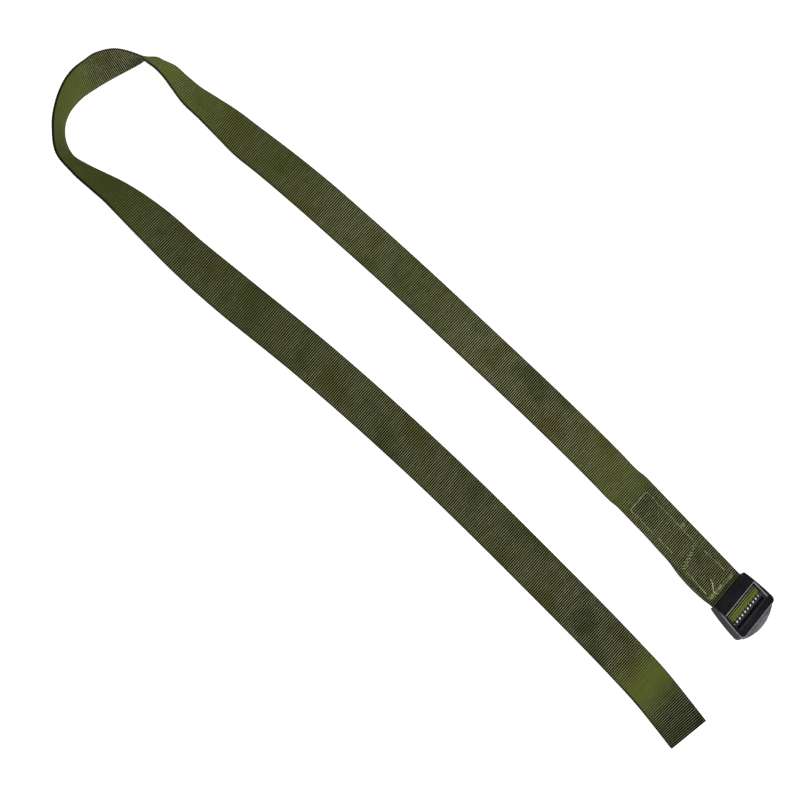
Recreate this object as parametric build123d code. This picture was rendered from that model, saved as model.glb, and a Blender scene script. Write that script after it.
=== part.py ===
from build123d import *
import math
import os

# A webbing strap tourniquet with a cam buckle, laid out on a flat surface in a long U.
# Millimetres. +X runs along the legs of the U towards the buckle, +Z is up, and the
# origin is the bottom centre of the whole object's box.

# ---- driving dimensions: webbing ----
WEB_WIDTH = 25.0
WEB_THICK = 1.4
HALF_THICK = WEB_THICK / 2

# ---- driving dimensions: where the sewn end and the buckle lie ----
END_Y = 47.0              # centre line of the sewn end and of the buckle
JOIN_X = 104.0            # the free webbing ends and the sewn end begins
LAP_START_X = 121.0       # cut end of the layer that is turned back underneath
STEP_START_X = 114.0      # the upper layer climbs onto the turned-back layer from here
STEP_END_X = 120.6
BUCKLE_X = 190.5          # rear edge of the buckle frame
LAP_SKEW = 1.0            # how far the turned-back layer lies out of line near the buckle
LAP_HIDE = 0.8            # and how far it lies the other way at its cut end

# ---- driving dimensions: buckle, x measured from its rear edge ----
FRAME_LENGTH = 21.8
FRAME_HEIGHT = 5.8
REAR_HALF_WIDTH = 13.5
MID_HALF_WIDTH = 15.0
FRONT_HALF_WIDTH = 15.7
FRONT_CORNER_R = 2.8
CHANNEL_HALF_WIDTH = 12.75
WINDOW_REAR = 7.3
WINDOW_FRONT = 16.8
PLATE_REAR_TOP = 4.7      # the rear plate slopes up from its rear edge to the window
PLATE_REAR_UNDER = 3.15
PLATE_FRONT_UNDER = 4.35
FRONT_BAR_UNDER = 4.45
TOP_FILLET = 1.2
WINDOW_BEVEL = 0.6

WEB_BAR_X = 11.0
WEB_BAR_Z = 2.4
WEB_BAR_R = 0.8
WEB_BAR_HALF = 15.1
FOLD_CLEARANCE = 0.1
FOLD_REACH = 2.0          # how far the fold's middle line bulges ahead of the bar

PIVOT_X = 19.5
PIVOT_Z = 2.4
PIVOT_R = 0.75
PIVOT_HALF = 15.7
PIVOT_CLEARANCE = 0.05

# ---- driving dimensions: cam lever ----
HUB_R = 1.55
HUB_HALF_WIDTH = 12.4
ARM_HALF_WIDTH = 11.9
TOOTH_TIP_X = 12.6        # the teeth rest on the webbing folded round the web bar
TOOTH_TIP_Z = 4.65
TOOTH_ROOT_X = 14.15
TOOTH_ROOT_Z = 3.75
TOOTH_COUNT = 10
TOOTH_PITCH = 2.5
TOOTH_GAP = 1.3
ARM_WAIST_X = 16.2        # the arm is thinner from here, to pass under the front bar
ARM_WAIST_TOP = 3.5
TAB_TIP_X = 25.6
TAB_ROOT_X = 22.0
TAB_ROOT_HALF_WIDTH = 12.0
TAB_HALF_WIDTH = 14.0     # the tab widens where it comes out from under the frame
TAB_UNDER = 2.0
TAB_THICK = 1.2
GRIP_RIDGES = 6
GRIP_PITCH = 0.62
GRIP_DEPTH = 0.2

# ---- driving dimensions: spring ----
SPRING_SLOT_HALF = 2.6
SPRING_SLOT_REAR = 17.7
SPRING_SLOT_FRONT = 21.3
SPRING_R = 1.12
SPRING_WIRE_R = 0.2
SPRING_PITCH = 0.55
SPRING_LENGTH = 4.0
SPRING_LEG = 1.35

# ---- driving dimensions: stitching on the upper layer ----
THREAD_WIDTH = 0.5
THREAD_HEIGHT = 0.3
STITCH_Z = 2 * WEB_THICK
LONG_BOX = ((160.5, 52.8), (125.5, 52.8), (125.5, 38.4), (156.5, 38.4))
SHORT_BOX_LINES = (((167.6, 53.3), (182.7, 54.0)), ((168.3, 36.9), (183.1, 36.2)))
ZIGZAG_LINE = ((162.1, 52.4), (166.1, 36.3))
ZIGZAG_WIDTH = 2.4
BAR_TACK_LINE = ((186.9, 55.4), (186.0, 35.4))
BAR_TACK_WIDTH = 2.8

# The free webbing as stations from the sewn end, round the loop, to the cut end:
# x, y, z of the edge that stays on the ground, then the bearing and the tilt, in
# degrees, of the line across the width from that edge to the other one.
STRAP_STATIONS = [
    (JOIN_X, 59.5, 0.7, -90, 0),
    (60, 58.3, 0.7, -88, 0),
    (10, 55.6, 0.7, -87, 0),
    (-40, 52.5, 0.7, -86, 0),
    (-80, 49.2, 0.7, -84, 0),
    (-110, 46, 0.7, -82, 2),
    (-135, 42, 0.7, -80, 6),
    (-150, 39.2, 0.7, -79, 8),
    (-164, 36.4, 0.9, -76, 15),
    (-176, 33, 0.8, -75, 24),
    (-185.6, 30.2, 0.8, -76, 30),
    (-194, 28.9, 1.0, -76, 36),
    (-202, 27.8, 1.4, -73, 40),
    (-208, 25, 1.3, -71, 45.5),
    (-211.2, 23.6, 1.2, -71.5, 47),
    (-213.4, 20, 1.0, -76, 54),
    (-213.8, 14, 0.7, -94, 62),
    (-214.4, 8, 0.5, -116, 64),
    (-215.6, -3, 0.4, -134, 63),
    (-216.3, -13, 0.4, -140, 68.5),
    (-216.3, -24, 0.4, -144, 72.5),
    (-213, -36, 0.4, -142, 75.5),
    (-209, -41.8, 0.4, -131, 74),
    (-202, -47, 0.4, -114, 67.5),
    (-194.6, -48.8, 0.5, -92, 55),
    (-187, -46.5, 0.6, -77, 46),
    (-178, -42.7, 0.8, -73, 38),
    (-169, -39, 1.1, -76, 31),
    (-160, -36.2, 1.2, -79, 24),
    (-146, -33, 0.9, -81, 15),
    (-121, -30.2, 0.7, -81, 7),
    (-96, -26.7, 0.7, -81, 1),
    (-41, -19.1, 0.7, -83.5, 0),
    (34, -12.7, 0.7, -86, 0),
    (114, -10, 0.7, -89, 0),
    (184, -9.4, 0.7, -92, 0),
    (204, -10.8, 0.7, -95, 0),
    (224, -13.2, 0.7, -101, 0),
]
LONGEST_SPAN = 45.0       # between two sections of the strap
LARGEST_TURN = 7.0        # degrees between two sections of the strap


def station_row(station):
    """A station as the edge point and the unit vector across the width."""
    x, y, z, bearing, tilt = station
    b = math.radians(bearing)
    t = math.radians(tilt)
    return (x, y, z, math.cos(t) * math.cos(b), math.cos(t) * math.sin(b), math.sin(t))


def slopes_at(rows, knots):
    """The slope of each value at each knot, for a smooth curve through all rows."""
    spans = [b - a for a, b in zip(knots, knots[1:])]
    steps = [[(q - p) / h for p, q in zip(a, b)] for a, b, h in zip(rows, rows[1:], spans)]
    slopes = [steps[0]]
    for i in range(1, len(rows) - 1):
        before, after = spans[i - 1], spans[i]
        blended = [(s * after + t * before) / (before + after) for s, t in zip(steps[i - 1], steps[i])]
        slopes.append(blended)
    slopes.append(steps[-1])
    return slopes


def hermite(p, q, m, n, h, u):
    """The cubic from p to q over a span h with end slopes m and n, at u from 0 to 1."""
    a = 2 * u**3 - 3 * u**2 + 1
    b = u**3 - 2 * u**2 + u
    return [a * pi + b * h * mi + (1 - a) * qi + (u**3 - u**2) * h * ni for pi, qi, mi, ni in zip(p, q, m, n)]


def strap_rows():
    """Edge point and across vector at every section; the far edge never dips below the near one."""
    rows = [station_row(s) for s in STRAP_STATIONS]
    knots = [0.0]
    for a, b in zip(rows, rows[1:]):
        knots.append(knots[-1] + math.dist(a[:3], b[:3]))
    slopes = slopes_at(rows, knots)
    result = [rows[0]]
    for i in range(len(rows) - 1):
        h = knots[i + 1] - knots[i]
        turn = Vector(*rows[i][3:]).get_angle(Vector(*rows[i + 1][3:]))
        parts = 1 + int(max(h / LONGEST_SPAN, turn / LARGEST_TURN))
        for k in range(1, parts + 1):
            row = hermite(rows[i], rows[i + 1], slopes[i], slopes[i + 1], h, k / parts)
            row[5] = max(row[5], 0.0)
            result.append(row)
    return result


def strap_section(edge, across, along):
    """The webbing's rectangular section as a closed wire."""
    normal = along.cross(across).normalized() * HALF_THICK
    far = edge + across * WEB_WIDTH
    return Wire.make_polygon([edge - normal, edge + normal, far + normal, far - normal])


def free_webbing():
    rows = strap_rows()
    edges = [Vector(*r[:3]) for r in rows]
    across = [Vector(*r[3:]).normalized() for r in rows]
    middles = [e + a * (WEB_WIDTH / 2) for e, a in zip(edges, across)]
    sections = []
    for i in range(len(rows)):
        along = middles[min(i + 1, len(rows) - 1)] - middles[max(i - 1, 0)]
        sections.append(strap_section(edges[i], across[i], along))
    length = sum((b - a).length for a, b in zip(middles, middles[1:]))
    print("free webbing length", round(length, 1))
    return Solid.make_loft(sections, ruled=True)


def thick_line(points, thickness):
    """The face between two lines half the thickness either side of a line in X and Z."""
    left = []
    right = []
    for i, (x, z) in enumerate(points):
        before = points[max(i - 1, 0)]
        after = points[min(i + 1, len(points) - 1)]
        dx, dz = after[0] - before[0], after[1] - before[1]
        size = math.hypot(dx, dz)
        nx, nz = -dz / size * thickness / 2, dx / size * thickness / 2
        left.append((x + nx, z + nz))
        right.append((x - nx, z - nz))
    outline = [Vector(x, 0, z) for x, z in left + right[::-1]]
    return Face(Wire.make_polygon(outline))


def step_points(x0, z0, x1, z1, count):
    """Points of a gentle rise from one level to another."""
    shares = [k / count for k in range(count + 1)]
    return [(x0 + (x1 - x0) * s, z0 + (z1 - z0) * (3 * s**2 - 2 * s**3)) for s in shares]


def sewn_end():
    """Upper layer, its fold round the web bar, and the layer turned back underneath."""
    bar_x = BUCKLE_X + WEB_BAR_X
    mean_r = WEB_BAR_R + FOLD_CLEARANCE + HALF_THICK
    fold_top = (bar_x, WEB_BAR_Z + mean_r)
    path = [(JOIN_X, HALF_THICK)]
    path += step_points(STEP_START_X, HALF_THICK, STEP_END_X, HALF_THICK + WEB_THICK, 6)
    path += step_points(BUCKLE_X + 0.5, HALF_THICK + WEB_THICK, *fold_top, 8)
    turns = 14
    for k in range(1, turns + 1):
        angle = math.pi / 2 - math.pi * k / turns
        path.append((bar_x + FOLD_REACH * math.cos(angle), WEB_BAR_Z + mean_r * math.sin(angle)))
    path.append((bar_x - 4.0, HALF_THICK))
    upper = extrude(Pos(0, END_Y + WEB_WIDTH / 2, 0) * thick_line(path, WEB_THICK), WEB_WIDTH, dir=(0, -1, 0))
    low = END_Y - WEB_WIDTH / 2
    side = [(LAP_START_X, -LAP_HIDE), (140, -LAP_HIDE), (159, 0), (165, LAP_SKEW), (184, LAP_SKEW)]
    side += [(189, 0), (bar_x - 4.0, 0)]
    outline = [(x, low - s) for x, s in side] + [(x, low + WEB_WIDTH - s) for x, s in reversed(side)]
    under = extrude(Polygon(*outline, align=None), WEB_THICK, dir=(0, 0, 1))
    return upper + under


def webbing_strap():
    return free_webbing() + sewn_end()


def thread_line(start, end, width, height):
    """A low straight bead of thread lying on the upper layer."""
    dx, dy = end[0] - start[0], end[1] - start[1]
    length = math.hypot(dx, dy) + THREAD_WIDTH
    angle = math.degrees(math.atan2(dy, dx))
    bead = Box(length, width, height, align=(Align.CENTER, Align.CENTER, Align.MIN))
    middle = ((start[0] + end[0]) / 2, (start[1] + end[1]) / 2, STITCH_Z)
    return Pos(*middle) * Rot(0, 0, angle) * bead


def long_box_stitch():
    lines = [thread_line(a, b, THREAD_WIDTH, THREAD_HEIGHT) for a, b in zip(LONG_BOX, LONG_BOX[1:])]
    return lines[0] + lines[1] + lines[2]


def short_box_stitch():
    lines = [thread_line(a, b, THREAD_WIDTH, THREAD_HEIGHT) for a, b in SHORT_BOX_LINES]
    return Compound(children=lines)


def frame_outline():
    """Plan of the buckle frame: sides that swell towards rounded front corners."""
    corner_x = FRAME_LENGTH - FRONT_CORNER_R
    side_end = (corner_x, FRONT_HALF_WIDTH)
    front_end = (FRAME_LENGTH, FRONT_HALF_WIDTH - FRONT_CORNER_R)
    reach = FRONT_CORNER_R * (1 - math.sqrt(0.5))
    corner_mid = (FRAME_LENGTH - reach, FRONT_HALF_WIDTH - reach)
    upper = [
        ThreePointArc((0, REAR_HALF_WIDTH), (corner_x / 2, MID_HALF_WIDTH), side_end),
        ThreePointArc(side_end, corner_mid, front_end),
    ]
    lower = [edge.mirror(Plane.XZ) for edge in upper]
    front = Line(front_end, (FRAME_LENGTH, -front_end[1]))
    rear = Line((0, -REAR_HALF_WIDTH), (0, REAR_HALF_WIDTH))
    return make_face(upper + lower + [front, rear])


def side_prism(points, half_width):
    """A solid with the given outline in X and Z, centred on the buckle's middle."""
    face = Face(Wire.make_polygon([Vector(x, half_width, z) for x, z in points]))
    return extrude(face, 2 * half_width, dir=(0, -1, 0))


def cross_rod(x, z, radius, half_length):
    """A round rod along Y."""
    return Pos(x, 0, z) * Rot(90, 0, 0) * Cylinder(radius, 2 * half_length)


def buckle_frame():
    body = extrude(frame_outline(), FRAME_HEIGHT, dir=(0, 0, 1))
    top_edges = body.edges().filter_by_position(Axis.Z, FRAME_HEIGHT - 0.01, FRAME_HEIGHT + 0.01)
    body = fillet(top_edges.filter_by_position(Axis.X, 0.1, FRAME_LENGTH + 1), TOP_FILLET)
    wedge = [(-1, PLATE_REAR_TOP - 0.157), (WINDOW_REAR - 0.3, FRAME_HEIGHT), (WINDOW_REAR, 9), (-1, 9)]
    body -= side_prism(wedge, FRONT_HALF_WIDTH + 1)
    under = [(-1, -1), (-1, PLATE_REAR_UNDER - 0.164), (WINDOW_REAR, PLATE_FRONT_UNDER), (WINDOW_REAR, -1)]
    body -= side_prism(under, CHANNEL_HALF_WIDTH)
    window = [(WINDOW_REAR - 0.001, -1), (WINDOW_REAR - 0.001, 9), (WINDOW_FRONT, 9), (WINDOW_FRONT, -1)]
    body -= side_prism(window, CHANNEL_HALF_WIDTH)
    b = WINDOW_BEVEL
    opening = (WINDOW_FRONT - WINDOW_REAR, 2 * CHANNEL_HALF_WIDTH)
    low = Pos((WINDOW_REAR + WINDOW_FRONT) / 2, 0, FRAME_HEIGHT - b) * Rectangle(*opening)
    high = Pos((WINDOW_REAR + WINDOW_FRONT) / 2, 0, FRAME_HEIGHT) * Rectangle(opening[0] + 2 * b, opening[1] + 2 * b)
    body -= loft([low.face(), high.face()])
    pocket = [(WINDOW_FRONT - 0.001, -1), (WINDOW_FRONT - 0.001, FRONT_BAR_UNDER)]
    pocket += [(FRAME_LENGTH + 1, FRONT_BAR_UNDER), (FRAME_LENGTH + 1, -1)]
    body -= side_prism(pocket, CHANNEL_HALF_WIDTH)
    body -= cross_rod(WEB_BAR_X, WEB_BAR_Z, WEB_BAR_R, 20)
    body -= cross_rod(PIVOT_X, PIVOT_Z, PIVOT_R, 20)
    return body


def cam_lever():
    hub = cross_rod(PIVOT_X, PIVOT_Z, HUB_R, HUB_HALF_WIDTH)
    arm = side_prism(
        [
            (TOOTH_TIP_X, TOOTH_TIP_Z),
            (TOOTH_ROOT_X, TOOTH_ROOT_Z),
            (PIVOT_X - 0.6, PIVOT_Z - 1.0),
            (PIVOT_X, PIVOT_Z),
            (PIVOT_X - 0.6, PIVOT_Z + 1.0),
            (ARM_WAIST_X, ARM_WAIST_TOP),
            (TOOTH_ROOT_X, TOOTH_ROOT_Z + 1.0),
            (TOOTH_TIP_X, TOOTH_TIP_Z + 0.4),
        ],
        ARM_HALF_WIDTH,
    )
    first_gap = -TOOTH_PITCH * (TOOTH_COUNT - 2) / 2
    for k in range(TOOTH_COUNT - 1):
        slot = Box(3, TOOTH_GAP, 6, align=(Align.MAX, Align.CENTER, Align.CENTER))
        arm -= Pos(TOOTH_ROOT_X, first_gap + k * TOOTH_PITCH, TOOTH_TIP_Z) * slot
    inner = [(TAB_ROOT_X, TAB_ROOT_HALF_WIDTH), (PIVOT_X, TAB_ROOT_HALF_WIDTH)]
    inner += [(x, -y) for x, y in reversed(inner)]
    rear = Polyline((TAB_ROOT_X, TAB_HALF_WIDTH), *inner, (TAB_ROOT_X, -TAB_HALF_WIDTH))
    bulge = ThreePointArc((TAB_ROOT_X, -TAB_HALF_WIDTH), (TAB_TIP_X, 0), (TAB_ROOT_X, TAB_HALF_WIDTH))
    tab = extrude(Pos(0, 0, TAB_UNDER) * make_face([bulge, *rear.edges()]), TAB_THICK, dir=(0, 0, 1))
    for k in range(GRIP_RIDGES):
        groove = Box(GRIP_PITCH / 2, 40, 2 * GRIP_DEPTH)
        tab -= Pos(TAB_TIP_X - 0.75 - k * GRIP_PITCH, 0, TAB_UNDER + TAB_THICK) * groove
    lever = hub + arm + tab
    slot = Box(SPRING_SLOT_FRONT - SPRING_SLOT_REAR, 2 * SPRING_SLOT_HALF, 8)
    lever -= Pos((SPRING_SLOT_REAR + SPRING_SLOT_FRONT) / 2, 0, PIVOT_Z) * slot
    lever -= cross_rod(PIVOT_X, PIVOT_Z, PIVOT_R + PIVOT_CLEARANCE, 20)
    return lever


def cam_spring():
    """A coil round the pivot pin with a short leg at each end."""
    coil = Helix(SPRING_PITCH, SPRING_LENGTH, SPRING_R)
    start, end = coil @ 0, coil @ 1
    path = Wire([Edge.make_line(start - (coil % 0) * SPRING_LEG, start), coil.edge(),
                 Edge.make_line(end, end + (coil % 1) * SPRING_LEG)])
    wire = sweep(Plane(path @ 0, z_dir=path % 0) * Circle(SPRING_WIRE_R), path=path, is_frenet=True)
    wire = Pos(0, 0, -SPRING_LENGTH / 2) * wire
    return Pos(PIVOT_X, 0, PIVOT_Z) * Rot(90, 0, 0) * wire


def on_buckle(shape):
    return Pos(BUCKLE_X, END_Y, 0) * shape


def build_all():
    zigzag = thread_line(*ZIGZAG_LINE, ZIGZAG_WIDTH, THREAD_HEIGHT)
    bar_tack = thread_line(*BAR_TACK_LINE, BAR_TACK_WIDTH, THREAD_HEIGHT + 0.1)
    return {
        "webbing_strap": webbing_strap(),
        "long_box_stitch": long_box_stitch(),
        "cross_zigzag_stitch": zigzag,
        "short_box_stitch": short_box_stitch(),
        "bar_tack_stitch": bar_tack,
        "buckle_frame": on_buckle(buckle_frame()),
        "web_bar": on_buckle(cross_rod(WEB_BAR_X, WEB_BAR_Z, WEB_BAR_R, WEB_BAR_HALF)),
        "cam_lever": on_buckle(cam_lever()),
        "cam_pivot_pin": on_buckle(cross_rod(PIVOT_X, PIVOT_Z, PIVOT_R, PIVOT_HALF)),
        "cam_spring": on_buckle(cam_spring()),
    }


os.makedirs("parts", exist_ok=True)
for name, shape in build_all().items():
    export_step(shape, f"parts/{name}.step")
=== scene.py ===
"""Looks for a webbing strap tourniquet with a cam buckle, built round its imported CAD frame.

Lengths in the tables and in the shape functions are millimetres in the row frame (+X along the
legs of the U towards the buckle, +Y towards the buckle's leg, +Z up). MM turns them into metres.
"""
import math
import random

import bpy
import numpy as np
from mathutils import Matrix, Vector


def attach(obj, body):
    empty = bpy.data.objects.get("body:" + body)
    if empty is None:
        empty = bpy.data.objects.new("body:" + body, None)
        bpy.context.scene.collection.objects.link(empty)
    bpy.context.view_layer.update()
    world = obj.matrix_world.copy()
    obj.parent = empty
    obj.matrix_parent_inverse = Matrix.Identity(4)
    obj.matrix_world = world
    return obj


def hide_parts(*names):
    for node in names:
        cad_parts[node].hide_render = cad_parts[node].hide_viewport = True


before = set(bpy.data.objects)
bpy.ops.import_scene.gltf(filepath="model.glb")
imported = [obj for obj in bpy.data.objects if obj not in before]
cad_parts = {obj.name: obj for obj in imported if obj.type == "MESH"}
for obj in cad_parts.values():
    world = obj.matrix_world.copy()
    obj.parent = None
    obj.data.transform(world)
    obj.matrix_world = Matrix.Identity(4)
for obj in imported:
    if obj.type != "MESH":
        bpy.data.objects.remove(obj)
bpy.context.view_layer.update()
MM = 0.001

# ---- webbing ----
WEB_WIDTH = 25.0
HALF_WIDTH = WEB_WIDTH / 2
WEB_THICK = 1.4
HALF_THICK = WEB_THICK / 2
UPPER_MIDDLE = 1.5 * WEB_THICK    # height of the upper layer's middle, over the turned-back layer
RIB_PITCH = 1.05
OPEN_RELIEF = 0.46        # depth of the gap between two ribs where the webbing lies loose
CLOSED_RELIEF = 0.12      # and where its bend presses the ribs together
SIDE_NOTCH = 0.16         # how far each gap also bites into the selvage
SAMPLE_STEP = 0.4
UNDER_PATTERN_SHIFT = 40  # the under face takes its pattern from this far beside the upper one
SEWN_EDGE_SHARE = 0.35    # the painted shade on the selvage is lighter on the sewn end

# height of the ribs and the share of painted highlight of each row of vertices, over one rib; rows with
# none take the dark gap colour
RIB_HEIGHT = (0.0, 0.62, 1.0, 0.94, 0.55)
RIB_PAINTED_HIGHLIGHT = (0.0, 0.0, 1.0, 0.12, 0.0)

# half of the section, from one selvage to the other: place across and share of the half thickness
SECTION = (
    (-12.5, 0.0), (-12.42, 0.45), (-12.15, 0.8), (-11.5, 1.0), (-4.0, 1.0),
    (4.0, 1.0), (11.5, 1.0), (12.15, 0.8), (12.42, 0.45), (12.5, 0.0),
)

# columns of a row of the strap: edge point, vector across, closeness of the ribs, tone
EDGE = slice(0, 3)
ACROSS = slice(3, 6)
ACROSS_Z = 5
CLOSED = 6
TONE = 7

# ---- where the sewn end and the buckle lie ----
END_Y = 47.0
JOIN_X = 104.0
LAP_START_X = 121.0
STEP_START_X = 114.0
STEP_END_X = 120.6
BUCKLE_X = 190.5
TAB_START_X = BUCKLE_X + 21.7
BAR_X = BUCKLE_X + 11.0
BAR_Z = 2.4
BAR_R = 0.8
BAR_GAP = 0.1
FOLD_R = BAR_R + BAR_GAP + HALF_THICK
FOLD_REACH = 2.0
FOLD_STEPS = 8
FOLD_START_X = BAR_X - 4
CLIMB_START_X = BUCKLE_X + 0.5
LAP_SKEW = 1.0
LAP_HIDE = 0.8

# the turned-back layer: x, and how far it lies out of line with the upper layer
LAP_EDGE = (
    (LAP_START_X, -LAP_HIDE), (140, -LAP_HIDE), (150, -LAP_HIDE / 2), (159, 0),
    (165, LAP_SKEW), (184, LAP_SKEW), (190, 0),
)

# closeness of the ribs and a brightness factor on the cloth's colour at each part of the sewn end
TURNED_LOOK = (0.1, 1.0)
FOLD_START_LOOK = (0.2, 0.9)
# the fold's tone of 1.45 is a painted highlight for its lit top band
FOLD_LOOK = (1.0, 1.45)
CLIMB_LOOK = (0.1, 0.95)
STEP_LOOK = (0.5, 1.08)
UPPER_CLOSED = 0.1
UPPER_TONES = ((180, 0.80), (170, 0.80), (156, 0.88), (140, 0.90), (126, 0.95))

# The free webbing as stations from the sewn end, round the loop, to the cut end: x, y, z of the
# edge that stays on the ground, bearing and tilt in degrees of the line across the width, how far
# the ribs are pressed together there, from 0 to 1 (open ribs take painted crest highlights and gap
# shade), and a brightness factor on the cloth's colour.
STRAP_STATIONS = (
    (JOIN_X, 59.5, 0.7, -90, 0, 0.45, 1.05),
    (60, 58.3, 0.7, -88, 0, 0.10, 0.95),
    (10, 55.6, 0.7, -87, 0, 0.10, 1.00),
    (-40, 52.5, 0.7, -86, 0, 0.35, 0.86),
    (-80, 49.2, 0.7, -84, 0, 0.20, 0.94),
    (-110, 46, 0.7, -82, 2, 0.35, 0.86),
    (-135, 42, 0.7, -80, 6, 0.55, 0.80),
    (-150, 39.2, 0.7, -79, 8, 0.50, 0.84),
    (-164, 36.4, 0.9, -76, 15, 0.50, 0.98),
    (-176, 33, 0.8, -75, 24, 0.72, 1.10),
    (-185.6, 30.2, 0.8, -76, 30, 0.75, 1.20),
    (-194, 28.9, 1.0, -76, 36, 0.72, 1.32),
    (-202, 27.8, 1.4, -73, 40, 0.92, 1.48),
    (-208, 25, 1.3, -71, 45.5, 0.90, 1.48),
    (-211.2, 23.6, 1.2, -71.5, 47, 0.85, 1.35),
    (-213.4, 20, 1.0, -76, 54, 0.20, 0.80),
    (-213.8, 14, 0.7, -94, 62, 0.00, 0.74),
    (-214.4, 8, 0.5, -116, 64, 0.00, 0.80),
    (-215.6, -3, 0.4, -134, 63, 0.20, 0.85),
    (-216.3, -13, 0.4, -140, 68.5, 0.45, 1.05),
    (-216.3, -24, 0.4, -144, 72.5, 0.75, 1.16),
    (-213, -36, 0.4, -142, 75.5, 0.95, 1.16),
    (-209, -41.8, 0.4, -131, 74, 0.95, 1.10),
    (-202, -47, 0.4, -114, 67.5, 0.90, 0.98),
    (-194.6, -48.8, 0.5, -92, 55, 0.90, 0.86),
    (-187, -46.5, 0.6, -77, 46, 0.90, 0.78),
    (-178, -42.7, 0.8, -73, 38, 0.88, 0.74),
    (-169, -39, 1.1, -76, 31, 0.75, 0.74),
    (-160, -36.2, 1.2, -79, 24, 0.60, 0.78),
    (-146, -33, 0.9, -81, 15, 0.40, 0.80),
    (-121, -30.2, 0.7, -81, 7, 0.30, 0.74),
    (-96, -26.7, 0.7, -81, 1, 0.35, 0.76),
    (-41, -19.1, 0.7, -83.5, 0, 0.20, 0.84),
    (34, -12.7, 0.7, -86, 0, 0.15, 0.84),
    (114, -10, 0.7, -89, 0, 0.12, 0.84),
    (174, -9.4, 0.7, -91.7, 0, 0.15, 0.90),
    (192, -9.8, 0.7, -93.2, 0, 0.92, 1.16),
    (208, -11.3, 0.7, -96.2, 0, 0.10, 0.66),
    (224, -13.2, 0.7, -101, 0, 0.0, 0.42),
)

# ---- stitching: lines on the upper layer, as (x, y) ----
THREAD_R = 0.21
THREAD_SIDES = 7
LOWER_THREAD_R = THREAD_R * 0.8
TAIL_R = THREAD_R * 0.9
KNOT_R = THREAD_R * 0.85
STITCH_PITCH = 2.9
TOP_FACE = 2 * WEB_THICK
LONG_BOX = ((160.5, 52.8), (125.5, 52.8), (125.5, 38.4), (156.5, 38.4))
SHORT_BOX_LINES = (((167.6, 53.3), (182.7, 54.0)), ((168.3, 36.9), (183.1, 36.2)))
ZIGZAG_LINE = ((162.1, 52.4), (166.1, 36.3))
BAR_TACK_LINE = ((186.9, 55.4), (186.0, 35.4))

# denser parts of the bar tack: start, end, width and pitch
BAR_TACK_PATCHES = (
    ((187.2, 54.6), (186.9, 51.8), 2.0, 0.7),
    ((185.9, 45.8), (186.2, 43.4), 1.8, 0.8),
    ((186.3, 38.6), (186.1, 35.9), 2.2, 0.65),
)

# the loose end of the thread, as (x, y, z)
LOOSE_TAIL = (
    (179.3, 44.1, 3.3), (180.6, 43.4, 3.6), (182.2, 42.5, 3.7), (183.6, 41.2, 3.7), (184.8, 40.0, 3.6),
    (186.2, 39.8, 3.6), (187.4, 40.6, 3.5), (188.2, 41.6, 3.2),
)
KNOT_AT = (151.0, 54.8)
KNOT_POINTS = 70

# the upper and the lower thread of a stitch: share of its length, and height above the upper face
# for the one, above the underside for the other
UPPER_STITCH = (
    (0.02, -0.45), (0.08, -0.05), (0.25, 0.13), (0.5, 0.17), (0.75, 0.13), (0.92, -0.05), (0.98, -0.45),
)
LOWER_STITCH = ((0.03, 0.5), (0.1, 0.24), (0.5, 0.17), (0.9, 0.24), (0.97, 0.5))

# ---- colours, in linear light ----
# loose ribs: the near-black gap colour is partly darker yarn and partly painted shade; the two crest
# colours are painted highlights
OPEN_GAP_SHADE = (0.004, 0.005, 0.002)
OPEN_CREST_HIGHLIGHT_DULL = (0.32, 0.34, 0.145)
OPEN_CREST_HIGHLIGHT_BRIGHT = (0.52, 0.52, 0.31)
YELLOWED = (0.30, 0.24, 0.07)
MOSSY = (0.14, 0.19, 0.06)
# closed ribs: the gap colours are a milder painted shade; the rib colours are the cloth's own olive
CLOSED_GAP_SHADE_DULL = (0.051, 0.064, 0.009)
CLOSED_GAP_SHADE_BRIGHT = (0.065, 0.076, 0.014)
CLOSED_RIB_DULL = (0.090, 0.110, 0.016)
CLOSED_RIB_BRIGHT = (0.112, 0.128, 0.029)
YARN_SHADE = (0.012, 0.014, 0.006)
FIBRE_SHADE = (0.02, 0.022, 0.01)
# painted shade on the selvage's side faces
SELVAGE_SHADE = (0.006, 0.0065, 0.005)
THREAD_OLIVE = (0.15, 0.17, 0.035)
THREAD_LIGHT = (0.32, 0.34, 0.13)
THREAD_BLOT = (0.035, 0.05, 0.012)
THREAD_SHADE = (0.045, 0.06, 0.015)
BLACK_DARK = (0.0065, 0.0062, 0.0085)
BLACK_LIGHT = (0.011, 0.0105, 0.014)
# painted highlight, with some rubbed paint, on the buckle's rounded edges
EDGE_WEAR_AND_HIGHLIGHT_GREY = (0.21, 0.20, 0.22)
LEVER_DARK = (0.004, 0.004, 0.007)
LEVER_LIGHT = (0.010, 0.010, 0.017)
TAB_DULL = (0.19, 0.175, 0.18)
TAB_BRIGHT = (0.29, 0.268, 0.272)
# painted shade in the grooves of the finger tab
TAB_GROOVE_SHADE = (0.12, 0.11, 0.115)
WIRE_DULL = (0.20, 0.19, 0.18)
WIRE_BRIGHT = (0.36, 0.35, 0.33)

# ---- camera and light ----
CAMERA_AT = (0.0224, -0.3516, 0.6678)
CAMERA_TURN = 3.2         # degrees about Z
CAMERA_ELEVATION = 63.0
CAMERA_ROLL = 43.25
CAMERA_LENS = 67.18
FLOOR_Z = -0.0002
FLOOR_REACH = 60.0
FLOOR_GLOW = 0.86
WORLD_STRENGTH = 0.16

# area lights: name, place, what it points at, size and power
LIGHTS = (
    ("key", (1.5, 0.1, 0.9), (0.05, 0, 0), (0.8, 0.8), 30),
    ("fill", (-1.1, 0.1, 1.1), (0, 0, 0), (1.0, 1.0), 14),
    ("front", (-0.2, -1.3, 0.8), (0, 0, 0), (1.2, 0.6), 9),
)

rng = random.Random(11)


# ---------------------------------------------------------------- scene: camera, floor, light

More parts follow.
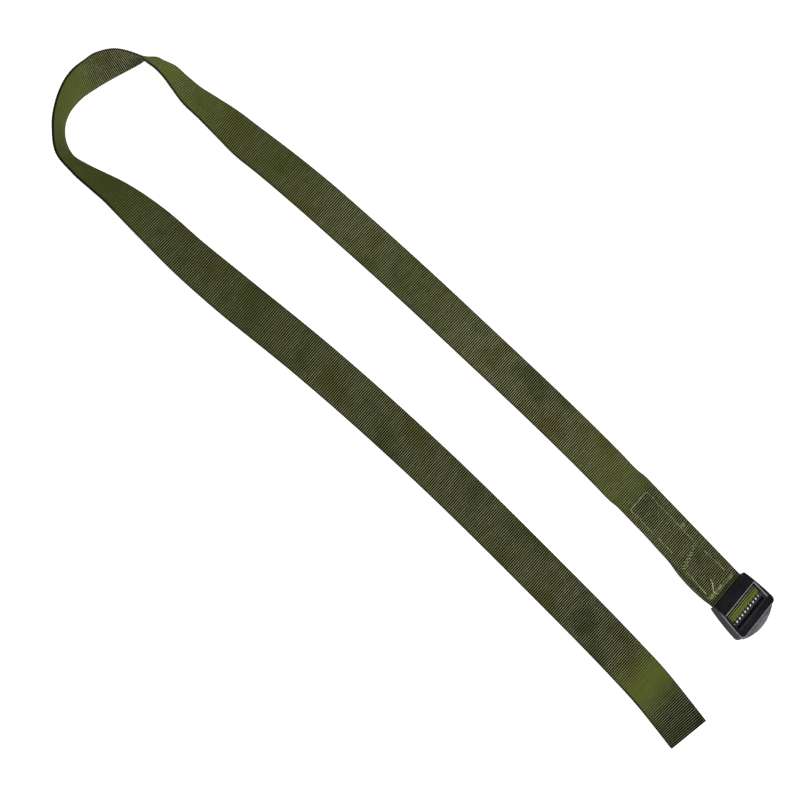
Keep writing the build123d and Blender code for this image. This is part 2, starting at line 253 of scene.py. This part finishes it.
def make_camera():
    """A camera turned about Z, tilted down by its elevation and rolled about its line of sight."""
    turn, lift, roll = (math.radians(v) for v in (CAMERA_TURN, CAMERA_ELEVATION, CAMERA_ROLL))
    level = Vector((math.cos(turn), math.sin(turn), 0))
    ahead = Vector((-math.sin(turn) * math.cos(lift), math.cos(turn) * math.cos(lift), -math.sin(lift)))
    upright = level.cross(ahead)
    right = math.cos(roll) * level + math.sin(roll) * upright
    up = -math.sin(roll) * level + math.cos(roll) * upright
    data = bpy.data.cameras.new("camera")
    data.lens = CAMERA_LENS
    data.clip_start = 0.01
    camera = bpy.data.objects.new("camera", data)
    bpy.context.scene.collection.objects.link(camera)
    turned = Matrix((right, up, -ahead)).transposed().to_4x4()
    camera.matrix_world = Matrix.Translation(CAMERA_AT) @ turned
    bpy.context.scene.camera = camera


def area_light(name, at, target, size, power):
    data = bpy.data.lights.new(name, "AREA")
    data.shape = "RECTANGLE"
    data.size, data.size_y = size
    data.energy = power
    light = bpy.data.objects.new(name, data)
    bpy.context.scene.collection.objects.link(light)
    light.location = at
    light.rotation_euler = (Vector(target) - Vector(at)).to_track_quat("-Z", "Y").to_euler()


def make_light():
    world = bpy.data.worlds.new("studio")
    bpy.context.scene.world = world
    world.use_nodes = True
    background = world.node_tree.nodes["Background"]
    background.inputs["Color"].default_value = (1, 1, 1, 1)
    background.inputs["Strength"].default_value = WORLD_STRENGTH
    for light in LIGHTS:
        area_light(*light)
    bpy.context.scene.view_settings.view_transform = "Standard"


def make_floor():
    """A wide white floor just under the strap, which glows a little so that it stays white."""
    mesh = bpy.data.meshes.new("floor")
    signs = ((-1, -1), (1, -1), (1, 1), (-1, 1))
    corners = [(x * FLOOR_REACH, y * FLOOR_REACH, FLOOR_Z) for x, y in signs]
    mesh.from_pydata(corners, [], [(0, 1, 2, 3)])
    floor = bpy.data.objects.new("floor", mesh)
    bpy.context.scene.collection.objects.link(floor)
    mat = bpy.data.materials.new("floor_white")
    mat.use_nodes = True
    shader = mat.node_tree.nodes["Principled BSDF"]
    shader.inputs["Base Color"].default_value = (0.5, 0.5, 0.5, 1)
    shader.inputs["Roughness"].default_value = 0.9
    shader.inputs["Specular IOR Level"].default_value = 0.1
    shader.inputs["Emission Color"].default_value = (1, 1, 1, 1)
    shader.inputs["Emission Strength"].default_value = FLOOR_GLOW
    mesh.materials.append(mat)


# ---------------------------------------------------------------- materials

class Nodes:
    """A short way to write a material's nodes and their links."""

    def __init__(self, name):
        self.mat = bpy.data.materials.new(name)
        self.mat.use_nodes = True
        self.tree = self.mat.node_tree
        self.shader = self.tree.nodes["Principled BSDF"]

    def link(self, source, target):
        """Puts a number, a colour or another node's output into a socket."""
        if isinstance(source, (int, float)):
            target.default_value = source
        elif isinstance(source, tuple):
            target.default_value = (*source, 1)
        else:
            self.tree.links.new(source, target)

    def node(self, kind, **settings):
        made = self.tree.nodes.new(kind)
        for key, value in settings.items():
            setattr(made, key, value)
        return made

    def attribute(self, name):
        return self.node("ShaderNodeAttribute", attribute_name=name).outputs["Fac"]

    def math(self, how, a, b):
        made = self.node("ShaderNodeMath", operation=how)
        self.link(a, made.inputs[0])
        self.link(b, made.inputs[1])
        return made.outputs[0]

    def mix(self, share, a, b):
        made = self.node("ShaderNodeMix", data_type="RGBA", blend_type="MIX")
        self.link(share, made.inputs["Factor"])
        self.link(a, made.inputs[6])
        self.link(b, made.inputs[7])
        return made.outputs[2]

    def span(self, value, low, high, to_low=0.0, to_high=1.0):
        """The value from low to high, moved to the range from to_low to to_high."""
        made = self.node("ShaderNodeMapRange", clamp=True)
        self.link(value, made.inputs["Value"])
        ends = {"From Min": low, "From Max": high, "To Min": to_low, "To Max": to_high}
        for name, number in ends.items():
            made.inputs[name].default_value = number
        return made.outputs["Result"]

    def place(self, kind, scale=(1, 1, 1)):
        """Texture coordinates: 'UV' in mm across and along the cloth, 'Object' in metres."""
        if kind == "UV":
            source = self.node("ShaderNodeUVMap", uv_map="weave").outputs["UV"]
        else:
            source = self.node("ShaderNodeTexCoord").outputs["Object"]
        made = self.node("ShaderNodeMapping")
        made.inputs["Scale"].default_value = scale
        self.link(source, made.inputs["Vector"])
        return made.outputs["Vector"]

    def noise(self, place, scale, detail=2.0, roughness=0.5):
        made = self.node("ShaderNodeTexNoise")
        self.link(place, made.inputs["Vector"])
        made.inputs["Scale"].default_value = scale
        made.inputs["Detail"].default_value = detail
        made.inputs["Roughness"].default_value = roughness
        return made.outputs["Fac"]

    def bands(self, place, scale, distortion):
        made = self.node("ShaderNodeTexWave", wave_type="BANDS", bands_direction="X")
        self.link(place, made.inputs["Vector"])
        made.inputs["Scale"].default_value = scale
        made.inputs["Distortion"].default_value = distortion
        made.inputs["Detail"].default_value = 1.0
        return made.outputs["Fac"]

    def wear(self):
        """Handling marks, long in the direction of +Y."""
        return self.noise(self.place("Object", (260, 90, 260)), 1.0, 4.0, 0.65)

    def bump(self, height, strength, depth_mm):
        made = self.node("ShaderNodeBump")
        made.inputs["Strength"].default_value = strength
        made.inputs["Distance"].default_value = depth_mm * MM
        self.link(height, made.inputs["Height"])
        self.link(made.outputs["Normal"], self.shader.inputs["Normal"])

    def plain(self, **values):
        """Sets the shader's own sockets, whose names have spaces for the underscores."""
        for name, value in values.items():
            self.shader.inputs[name.replace("_", " ")].default_value = value


def webbing_colour(m, fibres, yarns):
    """Painted highlights on the rib crests over near-black gaps, partly darker yarn and partly painted
    shade, where the webbing is loose; nearly even, with a milder painted gap shade, where its ribs close
    up.
    """
    # rib carries the share of painted crest highlight, edge the painted selvage shade
    rib, closed, edge = (m.attribute(n) for n in ("rib", "closed", "edge"))
    streaks = m.noise(m.place("UV", (0.08, 1.6, 1)), 1.0, 2.0)
    patches = m.noise(m.place("UV", (0.05, 0.035, 1)), 1.0, 2.0)
    # painted highlight on the crests of loose ribs, varied by streaks and real stains
    open_crest_highlight = m.mix(m.span(streaks, 0.35, 0.7), OPEN_CREST_HIGHLIGHT_DULL, OPEN_CREST_HIGHLIGHT_BRIGHT)
    open_crest_highlight = m.mix(m.span(patches, 0.54, 0.68, 0, 0.7), open_crest_highlight, YELLOWED)
    open_crest_highlight = m.mix(m.span(patches, 0.46, 0.34, 0, 0.6), open_crest_highlight, MOSSY)
    # loose ribs: painted highlight on the crest rows over the dark gap colour
    open_cloth = m.mix(m.span(rib, 0.2, 0.85), OPEN_GAP_SHADE, open_crest_highlight)
    # closed ribs: a milder painted shade in the gaps
    closed_gap_shade = m.mix(m.span(streaks, 0.3, 0.7), CLOSED_GAP_SHADE_DULL, CLOSED_GAP_SHADE_BRIGHT)
    closed_light = m.mix(m.span(streaks, 0.3, 0.7), CLOSED_RIB_DULL, CLOSED_RIB_BRIGHT)
    cloth = m.mix(closed, open_cloth, m.mix(rib, closed_gap_shade, closed_light))
    cloth = m.mix(m.span(yarns, 0.0, 0.35, 0.18, 0.0), cloth, YARN_SHADE)
    cloth = m.mix(m.span(fibres, 0.35, 0.65, 0.18, 0.0), cloth, FIBRE_SHADE)
    # painted shade along the selvage, stronger where the ribs close up
    selvage_shade_mask = m.math("MULTIPLY", edge, m.span(closed, 0.3, 0.8, 0.5, 0.96))
    return m.mix(selvage_shade_mask, cloth, SELVAGE_SHADE)


def webbing_material():
    m = Nodes("olive_webbing")
    yarns = m.bands(m.place("UV"), 0.31, 0.6)
    fibres = m.noise(m.place("UV", (2.4, 9.0, 1)), 1.0, 3.0, 0.6)
    toned = m.node("ShaderNodeVectorMath", operation="SCALE")
    m.link(webbing_colour(m, fibres, yarns), toned.inputs[0])
    m.link(m.attribute("tone"), toned.inputs["Scale"])
    m.link(toned.outputs[0], m.shader.inputs["Base Color"])
    m.link(m.span(fibres, 0.3, 0.7, 0.62, 0.85), m.shader.inputs["Roughness"])
    m.bump(m.math("ADD", m.math("MULTIPLY", yarns, 0.8), m.math("MULTIPLY", fibres, 0.6)), 0.55, 0.09)
    m.plain(Specular_IOR_Level=0.015)
    return m.mat


def thread_material(name, tone):
    """Twisted sewing thread; the tone is the strength of its light colour."""
    m = Nodes(name)
    spot = m.place("Object")
    strands = m.noise(spot, 5200.0, 2.0, 0.6)
    drift = m.noise(spot, 160.0, 2.0)
    blots = m.noise(spot, 620.0, 2.0)
    light = tuple(v * tone for v in THREAD_LIGHT)
    colour = m.mix(m.span(drift, 0.35, 0.65), THREAD_OLIVE, light)
    colour = m.mix(m.span(blots, 0.52, 0.40, 0.0, 0.75), colour, THREAD_BLOT)
    colour = m.mix(m.span(strands, 0.35, 0.6, 0.5, 0.0), colour, THREAD_SHADE)
    m.link(colour, m.shader.inputs["Base Color"])
    m.link(m.span(strands, 0.3, 0.7, 0.5, 0.72), m.shader.inputs["Roughness"])
    m.bump(strands, 0.5, 0.06)
    m.plain(Sheen_Weight=0.15, Sheen_Roughness=0.4)
    return m.mat


def edge_wear_and_highlights(m, wear):
    """Painted highlights, with some rubbed paint, on the rounded upper edges, strongest on the ones
    facing +X and -Y, towards the key and front lights.
    """
    facing = m.node("ShaderNodeSeparateXYZ")
    m.link(m.node("ShaderNodeNewGeometry").outputs["True Normal"], facing.inputs[0])
    x, y, z = facing.outputs
    rounded = m.math("MULTIPLY", m.span(z, 0.93, 0.80), m.span(z, 0.30, 0.60))
    # the edges facing the key light (+X) and the front light (-Y) get the strongest painted highlight
    side = m.span(m.math("SUBTRACT", x, y), -0.5, 0.7, 0.15, 1.0)
    return m.math("MULTIPLY", m.math("MULTIPLY", rounded, side), m.span(wear, 0.25, 0.6, 0.5, 1.0))


def black_enamel():
    """Painted metal: fine grain, specks, painted highlights with some rubbed paint on the rounded edges,
    and slightly uneven gloss.
    """
    m = Nodes("black_enamel")
    spot = m.place("Object")
    grain = m.noise(spot, 1 / (0.12 * MM), 3.0, 0.6)
    wear = m.wear()
    specks = m.noise(spot, 1400.0, 2.0, 0.5)
    colour = m.mix(m.span(wear, 0.42, 0.7), BLACK_DARK, BLACK_LIGHT)
    pale_speck = tuple(2.2 * v + 0.02 for v in BLACK_LIGHT)
    colour = m.mix(m.span(specks, 0.70, 0.76, 0, 0.5), colour, pale_speck)
    # painted highlight and some rubbed paint on the rounded edges
    colour = m.mix(edge_wear_and_highlights(m, wear), colour, EDGE_WEAR_AND_HIGHLIGHT_GREY)
    m.link(colour, m.shader.inputs["Base Color"])
    m.link(m.span(wear, 0.3, 0.75, 0.30, 0.46), m.shader.inputs["Roughness"])
    m.bump(m.math("ADD", grain, m.math("MULTIPLY", wear, 0.7)), 0.35, 0.05)
    m.plain(Specular_IOR_Level=0.12)
    return m.mat


def lever_material():
    """The enamel of the lever: dark inside the buckle, grey on the finger tab."""
    m = Nodes("grey_tab_enamel")
    spot = m.place("Object")
    split = m.node("ShaderNodeSeparateXYZ")
    m.link(spot, split.inputs[0])
    outside = m.span(split.outputs["X"], TAB_START_X * MM, (TAB_START_X + 0.6) * MM)
    ridges = m.bands(m.place("Object", (1000, 1000, 1000)), 0.5, 0.3)
    wear = m.wear()
    grain = m.noise(spot, 9000.0, 3.0, 0.6)
    grey = m.mix(m.span(wear, 0.35, 0.7), TAB_DULL, TAB_BRIGHT)
    # painted shade in the grooves between the tab's ridges
    grey = m.mix(m.span(ridges, 0.55, 0.9, 0, 0.45), grey, TAB_GROOVE_SHADE)
    dark = m.mix(m.span(wear, 0.42, 0.7), LEVER_DARK, LEVER_LIGHT)
    m.link(m.mix(outside, dark, grey), m.shader.inputs["Base Color"])
    m.link(m.span(wear, 0.3, 0.75, 0.36, 0.55), m.shader.inputs["Roughness"])
    m.bump(m.math("ADD", grain, m.math("MULTIPLY", ridges, 0.8)), 0.4, 0.05)
    m.plain(Specular_IOR_Level=0.32)
    return m.mat


def wire_material():
    m = Nodes("oiled_spring_wire")
    m.shader.inputs["Metallic"].default_value = 1.0
    drawn = m.noise(m.place("Object", (900, 3000, 900)), 1.0, 3.0)
    colour = m.mix(m.span(drawn, 0.3, 0.7), WIRE_DULL, WIRE_BRIGHT)
    m.link(colour, m.shader.inputs["Base Color"])
    m.link(m.span(drawn, 0.3, 0.7, 0.28, 0.5), m.shader.inputs["Roughness"])
    m.bump(drawn, 0.3, 0.02)
    return m.mat


# ---------------------------------------------------------------- the webbing

def slopes_at(rows, knots):
    """The slope of each value at each knot, for a smooth curve through all rows."""
    spans = np.diff(knots)[:, None]
    steps = np.diff(rows, axis=0) / spans
    inner = (steps[:-1] * spans[1:] + steps[1:] * spans[:-1]) / (spans[:-1] + spans[1:])
    return np.vstack([steps[:1], inner, steps[-1:]])


def smooth_rows(rows):
    """The rows sampled about every SAMPLE_STEP on a smooth curve through them."""
    knots = np.concatenate([[0.0], np.cumsum(np.linalg.norm(np.diff(rows[:, EDGE], axis=0), axis=1))])
    slopes = slopes_at(rows, knots)
    result = [rows[:1]]
    for i in range(len(rows) - 1):
        h = knots[i + 1] - knots[i]
        count = max(1, int(h / SAMPLE_STEP))
        u = (np.arange(1, count + 1) / count)[:, None]
        a = 2 * u**3 - 3 * u**2 + 1
        lift = (u**3 - 2 * u**2 + u) * h * slopes[i] + (u**3 - u**2) * h * slopes[i + 1]
        result.append(a * rows[i] + (1 - a) * rows[i + 1] + lift)
    return np.vstack(result)


def level_ended(share):
    """A rise from 0 to 1 that starts and ends level."""
    return 3 * share**2 - 2 * share**3


def lap_row(x, z, look, skew=0.0):
    """One section of the sewn end, square to its leg."""
    return (x, END_Y + HALF_WIDTH - skew, z, 0.0, -1.0, 0.0, *look)


def lap_rows():
    """The turned-back layer, the fold round the web bar and the upper layer, back to JOIN_X."""
    rows = [lap_row(x, HALF_THICK, TURNED_LOOK, skew) for x, skew in LAP_EDGE]
    rows.append(lap_row(FOLD_START_X, HALF_THICK, FOLD_START_LOOK))
    for k in range(FOLD_STEPS + 1):
        angle = -math.pi / 2 + math.pi * k / FOLD_STEPS
        x, z = BAR_X + FOLD_REACH * math.cos(angle), BAR_Z + FOLD_R * math.sin(angle)
        rows.append(lap_row(x, z, FOLD_LOOK))
    climb = BAR_X - CLIMB_START_X
    for share in (0.8, 0.62, 0.4, 0.2, 0.0):
        z = UPPER_MIDDLE + (BAR_Z + FOLD_R - UPPER_MIDDLE) * level_ended(share)
        rows.append(lap_row(CLIMB_START_X + climb * share, z, CLIMB_LOOK))
    for x, tone in UPPER_TONES:
        rows.append(lap_row(x, UPPER_MIDDLE, (UPPER_CLOSED, tone)))
    span = STEP_END_X - STEP_START_X
    for share in (1.0, 0.75, 0.5, 0.25, 0.0):
        z = HALF_THICK + WEB_THICK * level_ended(share)
        rows.append(lap_row(STEP_START_X + span * share, z, STEP_LOOK))
    return rows


def strap_rows():
    """Edge point, across vector, closeness and tone, from one cut end of the webbing to the other."""
    rows = lap_rows()
    for x, y, z, bearing, tilt, closed, tone in STRAP_STATIONS:
        b, t = math.radians(bearing), math.radians(tilt)
        across = (math.cos(t) * math.cos(b), math.cos(t) * math.sin(b), math.sin(t))
        rows.append((x, y, z, *across, closed, tone))
    return smooth_rows(np.array(rows, float))


def ribbed_rows():
    """The strap's rows again, five to each rib, with their distance along the middle line."""
    rows = strap_rows()
    rows[:, ACROSS_Z] = np.maximum(rows[:, ACROSS_Z], 0.0)
    rows[:, ACROSS] /= np.linalg.norm(rows[:, ACROSS], axis=1)[:, None]
    middle = rows[:, EDGE] + rows[:, ACROSS] * WEB_WIDTH / 2
    run = np.concatenate([[0.0], np.cumsum(np.linalg.norm(np.diff(middle, axis=0), axis=1))])
    ribs = round(run[-1] / RIB_PITCH)
    at = np.linspace(0, run[-1], ribs * len(RIB_HEIGHT) + 1)
    placed = np.stack([np.interp(at, run, rows[:, c]) for c in range(rows.shape[1])], axis=1)
    placed[:, ACROSS] /= np.linalg.norm(placed[:, ACROSS], axis=1)[:, None]
    return placed, at


def ribbed_skin(rows, at, ring):
    """The points of every section, and each point's share of painted rib highlight, share of painted
    selvage shade and pattern place.
    """
    edges, across = rows[:, EDGE], rows[:, ACROSS]
    middle = edges + across * WEB_WIDTH / 2
    normal = np.cross(np.gradient(middle, axis=0), across)
    normal /= np.linalg.norm(normal, axis=1)[:, None]
    phase = np.arange(len(rows)) % len(RIB_HEIGHT)
    under_phase = (phase + len(RIB_HEIGHT) // 2) % len(RIB_HEIGHT)
    relief = OPEN_RELIEF + (CLOSED_RELIEF - OPEN_RELIEF) * np.clip(rows[:, CLOSED], 0, 1)
    sewn = (edges[:, 0] > JOIN_X) & (edges[:, 1] > END_Y)
    # the painted selvage shade is lighter on the sewn end
    selvage_shade_share = np.where(sewn, SEWN_EDGE_SHARE, 1.0)
    points, rib, edge, weave = [], [], [], []
    for s, share, side in ring:
        turn = phase if side > 0 else under_phase
        low = 1 - np.array(RIB_HEIGHT)[turn]
        thick = share * HALF_THICK - relief * low * share
        place = s * (1 - SIDE_NOTCH / HALF_WIDTH * low * (1 - share))
        points.append(middle + across * place[:, None] + normal * (side * thick)[:, None])
        # the share of painted highlight on the rib crests
        rib.append(np.array(RIB_PAINTED_HIGHLIGHT)[turn])
        edge.append(selvage_shade_share if share < 1 else np.zeros(len(rows)))
        pattern = s + (UNDER_PATTERN_SHIFT if side < 0 else 0)
        weave.append(np.stack([np.full(len(rows), pattern), at], axis=1))
    return [np.stack(column, axis=1) for column in (points, rib, edge, weave)]


def skin_faces(count, wide):
    """The quads between neighbouring sections, and the faces that close the two cut ends."""
    starts = np.arange(count - 1)[:, None] * wide
    a = starts + np.arange(wide)[None, :]
    b = starts + (np.arange(wide)[None, :] + 1) % wide
    quads = np.stack([a, b, b + wide, a + wide], axis=-1).reshape(-1, 4)
    caps = []
    for first, flip in ((0, False), ((count - 1) * wide, True)):
        for k in range(len(SECTION) - 1):
            face = [first + k, first + (wide - k) % wide, first + wide - k - 1, first + k + 1]
            face = list(dict.fromkeys(face))
            caps.append(face[::-1] if flip else face)
    return quads.tolist(), caps


def webbing_mesh(rows, at):
    """The ribbed webbing as one closed mesh, with the values that its material reads."""
    ring = [(s, share, 1) for s, share in SECTION] + [(s, share, -1) for s, share in SECTION[-2:0:-1]]
    wide = len(ring)
    points, rib, edge, weave = ribbed_skin(rows, at, ring)
    quads, caps = skin_faces(len(rows), wide)
    mesh = bpy.data.meshes.new("olive_webbing")
    mesh.from_pydata((points.reshape(-1, 3) * MM).tolist(), [], quads + caps)
    mesh.polygons.foreach_set("use_smooth", [True] * len(quads) + [False] * len(caps))
    values = {
        "rib": rib.ravel(),
        "edge": edge.ravel(),
        "closed": np.repeat(np.clip(rows[:, CLOSED], 0, 1), wide),
        "tone": np.repeat(rows[:, TONE], wide),
    }
    for name, data in values.items():
        attribute = mesh.attributes.new(name, "FLOAT", "POINT")
        attribute.data.foreach_set("value", data.astype(np.float32))
    corners = np.zeros(len(mesh.loops), np.int32)
    mesh.loops.foreach_get("vertex_index", corners)
    layer = mesh.uv_layers.new(name="weave")
    layer.data.foreach_set("uv", weave.reshape(-1, 2)[corners].astype(np.float32).ravel())
    mesh.validate()
    return mesh


def build_webbing():
    """The strap's piece, and the length of its middle line in mm."""
    rows, at = ribbed_rows()
    mesh = webbing_mesh(rows, at)
    mesh.materials.append(webbing_material())
    strap = add_piece("olive_webbing_strap", mesh, "strap")
    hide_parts("webbing_strap")
    return strap, at[-1]


def add_piece(name, mesh, body):
    """A new piece that rides on a body."""
    piece = bpy.data.objects.new(name, mesh)
    bpy.context.scene.collection.objects.link(piece)
    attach(piece, body)
    return piece


# ---------------------------------------------------------------- the stitching

class Threads:
    """Collects round threads that follow points, into one mesh."""

    def __init__(self):
        self.points = []
        self.faces = []

    def add(self, line, radius=THREAD_R):
        """One round thread along a line of points, slimmer at its two ends."""
        sides = THREAD_SIDES
        line = [Vector(p) for p in line]
        first = len(self.points)
        side = None
        for i, p in enumerate(line):
            run = (line[min(i + 1, len(line) - 1)] - line[max(i - 1, 0)]).normalized()
            side = run.orthogonal() if side is None else side - run * side.dot(run)
            side.normalize()
            other = run.cross(side)
            slim = 0.55 if i in (0, len(line) - 1) else 1.0
            for k in range(sides):
                angle = 2 * math.pi * k / sides
                self.points.append(p + (side * math.cos(angle) + other * math.sin(angle)) * radius * slim)
        for i in range(len(line) - 1):
            for k in range(sides):
                a, b = first + i * sides + k, first + i * sides + (k + 1) % sides
                self.faces.append((a, b, b + sides, a + sides))
        last = first + (len(line) - 1) * sides
        self.faces.append(tuple(first + k for k in reversed(range(sides))))
        self.faces.append(tuple(last + k for k in range(sides)))

    def seam(self, start, end):
        """One straight row of stitches on the upper face, and the lower thread under the lap."""
        start, end = Vector((*start, 0)), Vector((*end, 0))
        count = max(1, round((end - start).length / STITCH_PITCH))
        step = (end - start) / count
        wide = Vector((-step.y, step.x, 0)).normalized()
        for k in range(count):
            first = start + step * k + wide * rng.uniform(-0.12, 0.12)
            lean = wide * rng.uniform(-0.2, 0.2)
            upper = [first + (step + lean) * u + Vector((0, 0, TOP_FACE + z)) for u, z in UPPER_STITCH]
            self.add(upper)
            lower = [first + step * u + Vector((0, 0, z)) for u, z in LOWER_STITCH]
            self.add(lower, LOWER_THREAD_R)

    def zigzag(self, line, width, pitch, height):
        """A row of slanting stitches across a line, close together in a bar tack."""
        start, end = Vector((*line[0], 0)), Vector((*line[1], 0))
        run = end - start
        count = round(run.length / pitch)
        step = run / count
        wide = Vector((-run.y, run.x, 0)).normalized() * width / 2
        path = []
        for k in range(2 * count + 1):
            sway = wide * rng.uniform(0.78, 1.1) * (1 if k % 2 else -1)
            spot = start + step * (k / 2) + step * rng.uniform(-0.12, 0.12)
            path.append((spot, sway))
        for (p, a), (q, b) in zip(path, path[1:]):
            lift = height + rng.uniform(-0.05, 0.08)
            heights = (-0.3, lift * 0.6, lift, lift + 0.03, lift, lift * 0.6, -0.3)
            flat = [(p + a).lerp(q + b, u) for u in (0, 0.12, 0.3, 0.5, 0.7, 0.88, 1)]
            self.add([v + Vector((0, 0, TOP_FACE + h)) for v, h in zip(flat, heights)])

    def piece(self, name, node, material):
        """The threads as one piece, which stands for the node where one is named."""
        mesh = bpy.data.meshes.new(name)
        mesh.from_pydata([tuple(p * MM) for p in self.points], [], self.faces)
        mesh.polygons.foreach_set("use_smooth", [len(f) == 4 for f in self.faces])
        mesh.materials.append(material)
        made = add_piece(name, mesh, "strap")
        if node:
            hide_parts(node)
        return made


def knot_line():
    """One thread wound on itself into a small flat knot."""
    line = []
    for k in range(KNOT_POINTS):
        angle = 0.83 * k + 0.9 * math.sin(0.37 * k)
        reach = 0.62 + 0.42 * math.sin(1.3 * k)
        x = KNOT_AT[0] + 1.5 * reach * math.cos(angle)
        y = KNOT_AT[1] + reach * math.sin(angle)
        line.append((x, y, TOP_FACE + 0.22 + 0.18 * math.sin(1.7 * k)))
    return line


def build_stitching():
    """Every row of stitches, the loose tail and the knot, as pieces that ride with the strap."""
    light = thread_material("light_thread", 1.25)
    worn = thread_material("worn_thread", 0.7)
    pale = thread_material("pale_thread", 2.0)
    long_box, short_box, crossing, tack, tail, knot = (Threads() for _ in range(6))
    for start, end in zip(LONG_BOX, LONG_BOX[1:]):
        long_box.seam(start, end)
    for start, end in SHORT_BOX_LINES:
        short_box.seam(start, end)
    crossing.zigzag(ZIGZAG_LINE, 2.4, 2.2, 0.2)
    tack.zigzag(BAR_TACK_LINE, 2.6, 1.3, 0.22)
    for start, end, width, pitch in BAR_TACK_PATCHES:
        tack.zigzag((start, end), width, pitch, 0.4)
    tail.add(LOOSE_TAIL, TAIL_R)
    knot.add(knot_line(), KNOT_R)
    return [
        long_box.piece("long_box_seam", "long_box_stitch", light),
        short_box.piece("short_box_seam", "short_box_stitch", light),
        crossing.piece("cross_zigzag_seam", "cross_zigzag_stitch", light),
        tack.piece("bar_tack_seam", "bar_tack_stitch", worn),
        tail.piece("loose_thread_tail", None, pale),
        knot.piece("thread_knot", None, worn),
    ]


# ---------------------------------------------------------------- the buckle

def paint_node(name, material):
    """Gives a CAD node one material in place of its own."""
    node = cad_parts[name]
    node.data.materials.clear()
    node.data.materials.append(material)


def dress_buckle():
    black = black_enamel()
    for name in ("buckle_frame", "cam_pivot_pin", "web_bar"):
        paint_node(name, black)
    paint_node("cam_lever", lever_material())
    paint_node("cam_spring", wire_material())


# ---------------------------------------------------------------- everything

make_camera()
make_light()
make_floor()
strap, strap_length = build_webbing()
seams = build_stitching()
dress_buckle()
